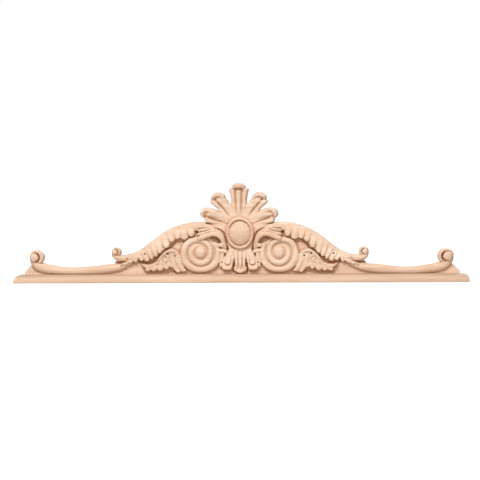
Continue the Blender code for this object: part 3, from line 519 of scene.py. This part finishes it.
def veins():
    """The last, fine cuts of the gouge: veins along the lobes, and the creases of the leaves."""
    for (out, up), (tip_out, tip_up), half in ARCH_LOBES:
        for aside in (-half * 0.45, half * 0.45):
            middle = ((out + tip_out) / 2 + aside, (up + tip_up) / 2)
            groove([(out + aside * 0.7, up - 2, 0.7, 0.4), (*middle, 0.9, 0.9),
                    (tip_out + aside * 0.8, tip_up + half, 0.7, 0.5)])
    for (root, tip, _), (next_root, next_tip, _) in zip(ARCH_LOBES, ARCH_LOBES[1:]):
        start = [(a + b) / 2 for a, b in zip(root, next_root)]
        end = [(a + b) / 2 for a, b in zip(tip, next_tip)]
        middle = [start[0] * 0.4 + end[0] * 0.6, start[1] * 0.4 + end[1] * 0.6]
        groove([(*start, 0.8, 0.8), (*middle, 1.4, 3), (end[0], end[1] + 3, 1.6, 4)])
    for out in (152, 140):
        groove([(out + 1, 119, 0.9, 0.6), (out, 108, 1.3, 1.8), (out - 0.5, 98, 1, 1)])
    pit(160, 124.5, 2.2, 4)
    # The husk
    groove([(270, 50, 0.8, 0.5), (283, 47, 1, 1.4), (297, 44, 1.2, 2)])
    groove([(268, 44, 0.8, 0.5), (281, 40.5, 1.1, 1.6), (296, 40, 1.4, 3)])
    # The fan leaf, with its little swirl
    swirl = [(20, 9.5), (120, 8.4), (220, 7.2), (320, 5.8), (420, 3.8)]
    groove(winding(197, 36, [(degrees, radius, 1.3, 3.2) for degrees, radius in swirl]), SWIRL_STEPS)
    for out, up in ((213, 27), (203, 23), (193, 24)):
        groove([(out, up + 4, 0.9, 1), (out + 1, up, 1.3, 2.6), (out + 1.5, up - 5, 0.9, 1)])
    groove([(206, 47, 1, 2), (212, 36, 1.3, 3), (222, 29, 1.2, 3), (236, 25.5, 0.9, 1.4)])
    groove([(182, 52, 1, 2), (184, 42, 1.4, 3.2), (181, 30, 1.2, 3), (174, 21, 0.9, 1.4)])
    groove([(174, 44, 0.9, 1.5), (169, 31, 1.1, 2.2), (162, 19, 0.9, 1.4)])
    groove([(190, 50, 1, 2.4), (187, 43, 1.3, 3.2), (187, 34, 1.2, 2.8), (184, 25, 0.9, 1.4)])
    pit(194.5, 46.5, 2.0, 5)
    pit(197.5, 36.5, 1.6, 2)
    # The hood's fingers and its stem
    groove([(107, 112.5, 1.2, 3), (96, 113, 1.8, 5), (86, 117, 1.8, 4.5), (76, 120, 1.4, 3),
            (68, 120, 0.8, 1)])
    groove([(106, 122.5, 1, 2.5), (96, 123.2, 1.5, 4), (86, 123.2, 1.3, 3), (76, 123, 0.8, 1)])
    groove([(104, 127.5, 1, 2.5), (97, 129.3, 1.4, 3.5), (90, 129, 1, 1.5)])
    groove([(100, 105, 1, 1.5), (88, 109, 1.4, 3), (74, 112.3, 1.5, 3), (60, 112.5, 1, 1.5)])
    groove([(53, 58, 1, 2), (53.5, 48, 1.4, 3), (55, 38, 1, 2)])


def blurred(heights, times):
    """The heights, each averaged with its neighbours so many times over."""
    for _ in range(times):
        wide = np.pad(heights, 1, mode="reflect")
        wide = wide[:-2] + 2 * wide[1:-1] + wide[2:]
        heights = (wide[:, :-2] + 2 * wide[:, 1:-1] + wide[:, 2:]) / 16
    return heights


def soften():
    """Sandpaper takes the sharpness off every ridge and corner."""
    ground = np.maximum(relief, SANDED_LOW)
    relief[...] = np.where(ground > SANDED_ABOVE, blurred(ground, 1), ground)


for carve in (board, long_stem, short_stem, husk, arch_leaf, volute, fan_leaf, shadow_channel, crown,
              hood_leaf, pendant, medallion, veins, soften):
    carve()


# The pieces
def keep(name, shape, node, material):
    """Makes a shape a piece that stands for a node of the frame, fitted to the node's box."""
    low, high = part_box(node)
    corners = np.array([vert.co for vert in shape.verts])
    own_low, own_high = Vector(corners.min(axis=0)), Vector(corners.max(axis=0))
    fit = Vector([(high[i] - low[i]) / (own_high[i] - own_low[i]) for i in range(3)])
    bmesh.ops.translate(shape, verts=shape.verts, vec=-own_low)
    bmesh.ops.scale(shape, verts=shape.verts, vec=fit)
    bmesh.ops.translate(shape, verts=shape.verts, vec=low)
    mesh = bpy.data.meshes.new(name)
    shape.to_mesh(mesh)
    shape.free()
    mesh.materials.append(material)
    mesh.shade_smooth()
    mesh.set_sharp_from_angle(angle=math.radians(SHARP_ANGLE))
    piece = bpy.data.objects.new(name, mesh)
    bpy.context.scene.collection.objects.link(piece)
    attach(piece, "root")
    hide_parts(node)


def cut_flat(shape, normal):
    """Cuts away what lies past a plane through the origin and closes the cut."""
    parts = shape.verts[:] + shape.edges[:] + shape.faces[:]
    bmesh.ops.bisect_plane(shape, geom=parts, plane_co=(0, 0, 0), plane_no=normal, clear_outer=True)
    bmesh.ops.holes_fill(shape, edges=[edge for edge in shape.edges if edge.is_boundary], sides=0)


def thinned(shape, triangles):
    """The same shape in about so many triangles, most of them where it curves most. A modifier splits
    the faces first, because the operator for that orders them differently in each run."""
    mesh = bpy.data.meshes.new("thinning")
    shape.to_mesh(mesh)
    shape.free()
    holder = bpy.data.objects.new("thinning", mesh)
    bpy.context.scene.collection.objects.link(holder)
    split = holder.modifiers.new("split", "TRIANGULATE")
    split.quad_method = "BEAUTY"
    fewer = holder.modifiers.new("fewer", "DECIMATE")
    fewer.ratio = min(1, triangles / sum(len(face.vertices) - 2 for face in mesh.polygons))
    fewer.use_collapse_triangulate = True
    bpy.context.view_layer.update()
    result = bmesh.new()
    result.from_object(holder, bpy.context.evaluated_depsgraph_get())
    bpy.data.objects.remove(holder, do_unlink=True)
    return result


def painted_hollow_shade():
    """Painted shade for each point of the drawing, 0 to 1: deeper in a hollow is darker, and 0 along the
    outline.
    """
    ground = np.maximum(relief, FLOOR)
    hollow = np.clip((blurred(ground, SHADE_ROUNDS) - ground) / FULL_SHADE_DEPTH, 0, 1)
    outside = blurred((relief < FLOOR - BELOW_FLOOR).astype(float), OUTLINE_ROUNDS)
    return hollow * np.clip(1 - OUTLINE_FADE * outside, 0, 1)


def hand_drift(out, up):
    """How far sideways the carver's hand set a point from its place on the drawing."""
    leaning = min(1, max(0, up - CROWN_FOOT) / LEAN_RISE)
    leaning = leaning * min(1, max(0, CROWN_HALF - abs(out)) / LEAN_EDGE)
    drift = np.interp(out, DRIFT_PLACES, DRIFTS)
    return drift + (CROWN_LEAN - drift) * leaning


def carved_panel(material):
    """The carving as one solid: a grid raised to the relief, cut flat at the back and the foot."""
    lines, columns = relief.shape
    behind = 2 * BOARD_THICKNESS
    shape = bmesh.new()
    bmesh.ops.create_grid(shape, x_segments=2 * columns - 2, y_segments=lines - 1, size=1)
    depth = np.maximum(relief * UNIT_RELIEF, -behind)
    for number, vert in enumerate(shape.verts):
        line, column = divmod(number, 2 * columns - 1)
        side = column - (columns - 1)
        vert.co = (side * GRID_STEP * UNIT_OUT, -BOARD_THICKNESS - depth[line, abs(side)],
                   UP[line, 0] * UNIT_UP)
    waste = [face for face in shape.faces if min(vert.co.y for vert in face.verts) > 0]
    bmesh.ops.delete(shape, geom=waste, context="FACES")
    rim = [edge for edge in shape.edges if edge.is_boundary]
    walls = bmesh.ops.extrude_edge_only(shape, edges=rim)["geom"]
    for vert in walls:
        if isinstance(vert, bmesh.types.BMVert):
            vert.co.y = behind
    for normal in ((0, 1, 0), (0, 0, -1)):
        cut_flat(shape, normal)
    bmesh.ops.recalc_face_normals(shape, faces=shape.faces)
    shape = thinned(shape, PANEL_TRIANGLES)
    # Painted shade: each point keeps, as its 'hollow' attribute, how much the material darkens it in a
    # hollow
    hollow = painted_hollow_shade()
    layer = shape.verts.layers.float.new("hollow")
    for vert in shape.verts:
        vert.co.y = 0 if vert.co.y > -FLATTEN else vert.co.y
        vert.co.z = 0 if vert.co.z < FLATTEN else vert.co.z
        line = round((vert.co.z / UNIT_UP - SHEET_LOW) / GRID_STEP)
        column = round(abs(vert.co.x) / UNIT_OUT / GRID_STEP)
        vert[layer] = hollow[line, column] if vert.co.y < 0 else 0
        vert.co.x += hand_drift(vert.co.x, vert.co.z)
    bmesh.ops.dissolve_degenerate(shape, edges=shape.edges, dist=FLATTEN / 10)
    bmesh.ops.triangulate(shape, faces=shape.faces)
    keep("carved_wood_panel", shape, "carved_panel", material)


def ledge_moulding(material):
    """The plain ledge: a quarter-round along the front, returned round both ends, on a flat foot."""
    half = ledge_high.x
    depth = ledge_high.y - ledge_low.y
    rise = ledge_high.z - OVOLO_FILLET
    stations = [(ARRIS, 0), (0, ARRIS), (0, OVOLO_FILLET)]
    for step in range(1, OVOLO_STEPS + 1):
        turn = math.pi / 2 * step / OVOLO_STEPS
        stations.append((OVOLO_REACH * (1 - math.cos(turn)), OVOLO_FILLET + rise * math.sin(turn)))
    shape = bmesh.new()
    end, front = half - ARRIS, -depth + ARRIS
    corners = ((-end, front), (end, front), (end, 0), (-end, 0))
    foot = [shape.verts.new((out, back, 0)) for out, back in corners]
    ring = [shape.edges.new((foot[i - 1], foot[i])) for i in range(len(foot))]
    for inset, up in stations[1:]:
        grown = bmesh.ops.extrude_edge_only(shape, edges=ring)["geom"]
        ring = [part for part in grown if isinstance(part, bmesh.types.BMEdge)]
        for vert in {vert for edge in ring for vert in edge.verts}:
            vert.co.x = math.copysign(half - inset, vert.co.x)
            vert.co.y = -depth + inset if vert.co.y < -depth / 2 else 0
            vert.co.z = up
    bmesh.ops.holes_fill(shape, edges=[edge for edge in shape.edges if edge.is_boundary], sides=0)
    bmesh.ops.recalc_face_normals(shape, faces=shape.faces)
    keep("quarter_round_ledge", shape, "ledge_moulding", material)


# Materials
def linear(hex_colour):
    """An sRGB hex colour as linear red, green, blue and alpha."""
    parts = [int(hex_colour[i:i + 2], 16) / 255 for i in (0, 2, 4)]
    parts = [part / 12.92 if part <= 0.04045 else ((part + 0.055) / 1.055) ** 2.4 for part in parts]
    return (*parts, 1)


def add_node(tree, kind, settings=None, values=None, links=None):
    """Adds a node with its settings, its sockets' values and the links into it."""
    node = tree.nodes.new(kind)
    for name, value in (settings or {}).items():
        setattr(node, name, value)
    for socket, value in (values or {}).items():
        node.inputs[socket].default_value = value
    for socket, source in (links or {}).items():
        tree.links.new(source, node.inputs[socket])
    return node


def stretched(length, width):
    """The scale of a pattern that is so long along the grain and so wide across it."""
    return (1 / length, 1 / width, 1 / width)


def sanded_beech(name, pale, middle, dark, hollow_shade_tint, seed):
    """Steamed beech, carved with gouges and sanded by hand: a matt, warm pink-tan wood, with fine
    lengthwise grain, short pores and broad changes of tone along the board, and painted shade in the
    carving's hollows."""
    material = bpy.data.materials.new(name)
    material.use_nodes = True
    tree = material.node_tree
    shader = tree.nodes["Principled BSDF"]
    place = add_node(tree, "ShaderNodeTexCoord")
    # Grain runs along the length: its bands are about 6 mm apart and 150 mm long
    grain_place = add_node(tree, "ShaderNodeMapping", None,
                           {"Location": (seed, 0, seed * 0.37),
                            "Scale": stretched(GRAIN_LENGTH, GRAIN_WIDTH)},
                           {"Vector": place.outputs["Object"]})
    grain = add_node(tree, "ShaderNodeTexNoise", None,
                     {"Scale": 1, "Detail": 6, "Roughness": 0.6, "Distortion": 0.3},
                     {"Vector": grain_place.outputs["Vector"]})
    # The tone changes slowly along the board, in clouds about 60 mm by 400 mm
    tone_place = add_node(tree, "ShaderNodeMapping", None,
                          {"Location": (seed * 2.1, 0, 0), "Scale": stretched(TONE_LENGTH, TONE_WIDTH)},
                          {"Vector": place.outputs["Object"]})
    tone = add_node(tree, "ShaderNodeTexNoise", None, {"Scale": 1, "Detail": 2, "Roughness": 0.5},
                    {"Vector": tone_place.outputs["Vector"]})
    both = add_node(tree, "ShaderNodeMix", {"data_type": "FLOAT"}, {"Factor": TONE_SHARE},
                    {"A": grain.outputs["Fac"], "B": tone.outputs["Fac"]})
    colour = add_node(tree, "ShaderNodeValToRGB", None, None, {"Fac": both.outputs["Result"]})
    stops = colour.color_ramp.elements
    stops.new(0.5)
    for stop, share, wood in zip(stops, (0.32, 0.5, 0.68), (dark, middle, pale)):
        stop.position = share
        stop.color = linear(wood)
    # Painted shade: the hollows between the carved forms are coloured darker and more orange, as where
    # shade falls
    hollow = add_node(tree, "ShaderNodeAttribute", {"attribute_name": "hollow"})
    shade_mix = add_node(tree, "ShaderNodeMixRGB", {"blend_type": "MULTIPLY"},
                        {"Color2": linear(hollow_shade_tint)},
                        {"Fac": hollow.outputs["Fac"], "Color1": colour.outputs["Color"]})
    tree.links.new(shade_mix.outputs["Color"], shader.inputs["Base Color"])
    # Short pores, drawn as 1.2 mm by 12 mm, which is larger than in the real wood, so that they show
    pore_place = add_node(tree, "ShaderNodeMapping", None,
                          {"Location": (seed, 0, seed), "Scale": stretched(PORE_LENGTH, PORE_WIDTH)},
                          {"Vector": place.outputs["Object"]})
    pores = add_node(tree, "ShaderNodeTexNoise", None, {"Scale": 1, "Detail": 2, "Roughness": 0.55},
                     {"Vector": pore_place.outputs["Vector"]})
    bump = add_node(tree, "ShaderNodeBump", None, {"Strength": 0.25, "Distance": PORE_DEPTH},
                    {"Height": pores.outputs["Fac"]})
    tree.links.new(bump.outputs["Normal"], shader.inputs["Normal"])
    shader.inputs["Roughness"].default_value = 0.62
    shader.inputs["Specular IOR Level"].default_value = 0.3
    return material


carved_panel(sanded_beech("sanded_beech_carving", "e2c9b3", "d3b49b", "c4a084", "dcba98", 3.0))
ledge_moulding(sanded_beech("planed_beech_ledge", "d1b197", "c5a489", "b79377", "dcba98", 11.0))


# Floor, light and camera
def white_paper(name):
    """Matt white studio paper, pure white in the picture. Its glow grows away from the piece, and the
    camera alone sees it, so it casts no light on the wood."""
    material = bpy.data.materials.new(name)
    material.use_nodes = True
    tree = material.node_tree
    shader = tree.nodes["Principled BSDF"]
    shader.inputs["Base Color"].default_value = linear("b4b4b4")
    shader.inputs["Roughness"].default_value = 1.0
    shader.inputs["Specular IOR Level"].default_value = 0.0
    shader.inputs["Emission Color"].default_value = linear("ffffff")
    place = add_node(tree, "ShaderNodeTexCoord")
    oval = add_node(tree, "ShaderNodeMapping", None, {"Scale": (GLOW_NARROWING, 1, 1)},
                    {"Vector": place.outputs["Object"]})
    away = add_node(tree, "ShaderNodeVectorMath", {"operation": "LENGTH"}, None,
                    {"Vector": oval.outputs["Vector"]})
    glow = add_node(tree, "ShaderNodeMapRange", {"interpolation_type": "SMOOTHSTEP"},
                    {"From Min": GLOW_START, "From Max": GLOW_END, "To Min": NEAR_GLOW, "To Max": FAR_GLOW},
                    {"Value": away.outputs["Value"]})
    looked_at = add_node(tree, "ShaderNodeLightPath")
    seen = add_node(tree, "ShaderNodeMath", {"operation": "MULTIPLY"}, None,
                    {0: glow.outputs["Result"], 1: looked_at.outputs["Is Camera Ray"]})
    tree.links.new(seen.outputs["Value"], shader.inputs["Emission Strength"])
    return material


def studio_floor():
    """One broad sheet of white paper under the piece, open on every side."""
    shape = bmesh.new()
    bmesh.ops.create_grid(shape, x_segments=1, y_segments=1, size=FLOOR_HALF)
    bmesh.ops.translate(shape, verts=shape.verts, vec=(0, 0, -FLOOR_GAP))
    mesh = bpy.data.meshes.new("studio_paper")
    shape.to_mesh(mesh)
    shape.free()
    mesh.materials.append(white_paper("white_studio_paper"))
    paper = bpy.data.objects.new("studio_paper", mesh)
    bpy.context.scene.collection.objects.link(paper)


def soft_surroundings():
    """White all round: full white where the camera looks past the piece, softer where it lights it."""
    world = bpy.data.worlds.new("white_surroundings")
    bpy.context.scene.world = world
    world.use_nodes = True
    tree = world.node_tree
    tree.nodes["Background"].inputs["Color"].default_value = linear("ffffff")
    looked_at = add_node(tree, "ShaderNodeLightPath")
    strength = add_node(tree, "ShaderNodeMath", {"operation": "MULTIPLY_ADD"},
                        {1: 1 - WORLD_LIGHT, 2: WORLD_LIGHT}, {0: looked_at.outputs["Is Camera Ray"]})
    tree.links.new(strength.outputs["Value"], tree.nodes["Background"].inputs["Strength"])


def softbox(name, place, width, height, watts):
    """A soft, white rectangular lamp that looks at the middle of the piece."""
    light = bpy.data.lights.new(name, "AREA")
    light.shape = "RECTANGLE"
    light.size, light.size_y = width, height
    light.energy = watts
    lamp = bpy.data.objects.new(name, light)
    lamp.location = place
    lamp.rotation_euler = (Vector(LAMP_TARGET) - Vector(place)).to_track_quat("-Z", "Y").to_euler()
    bpy.context.scene.collection.objects.link(lamp)


def camera():
    """A long lens straight in front, a little to the right, as in the photograph."""
    lens = bpy.data.cameras.new("camera")
    lens.sensor_width = SENSOR
    lens.lens = LENS
    holder = bpy.data.objects.new("camera", lens)
    yaw, pitch, roll = (math.radians(value) for value in (CAMERA_YAW, CAMERA_PITCH, CAMERA_ROLL))
    target = Vector(CAMERA_TARGET)
    back = Vector((math.sin(yaw) * math.cos(pitch), -math.cos(yaw) * math.cos(pitch), math.sin(pitch)))
    holder.location = target + back * CAMERA_DISTANCE
    aim = (-back).to_track_quat("-Z", "Y").to_matrix().to_4x4()
    aim = aim @ Matrix.Rotation(roll, 4, "Z")
    holder.rotation_euler = aim.to_euler()
    bpy.context.scene.collection.objects.link(holder)
    bpy.context.scene.camera = holder


studio_floor()
for lamp_name, lamp in LAMPS.items():
    softbox(lamp_name, *lamp)
soft_surroundings()
camera()
bpy.context.scene.view_settings.view_transform = "Standard"
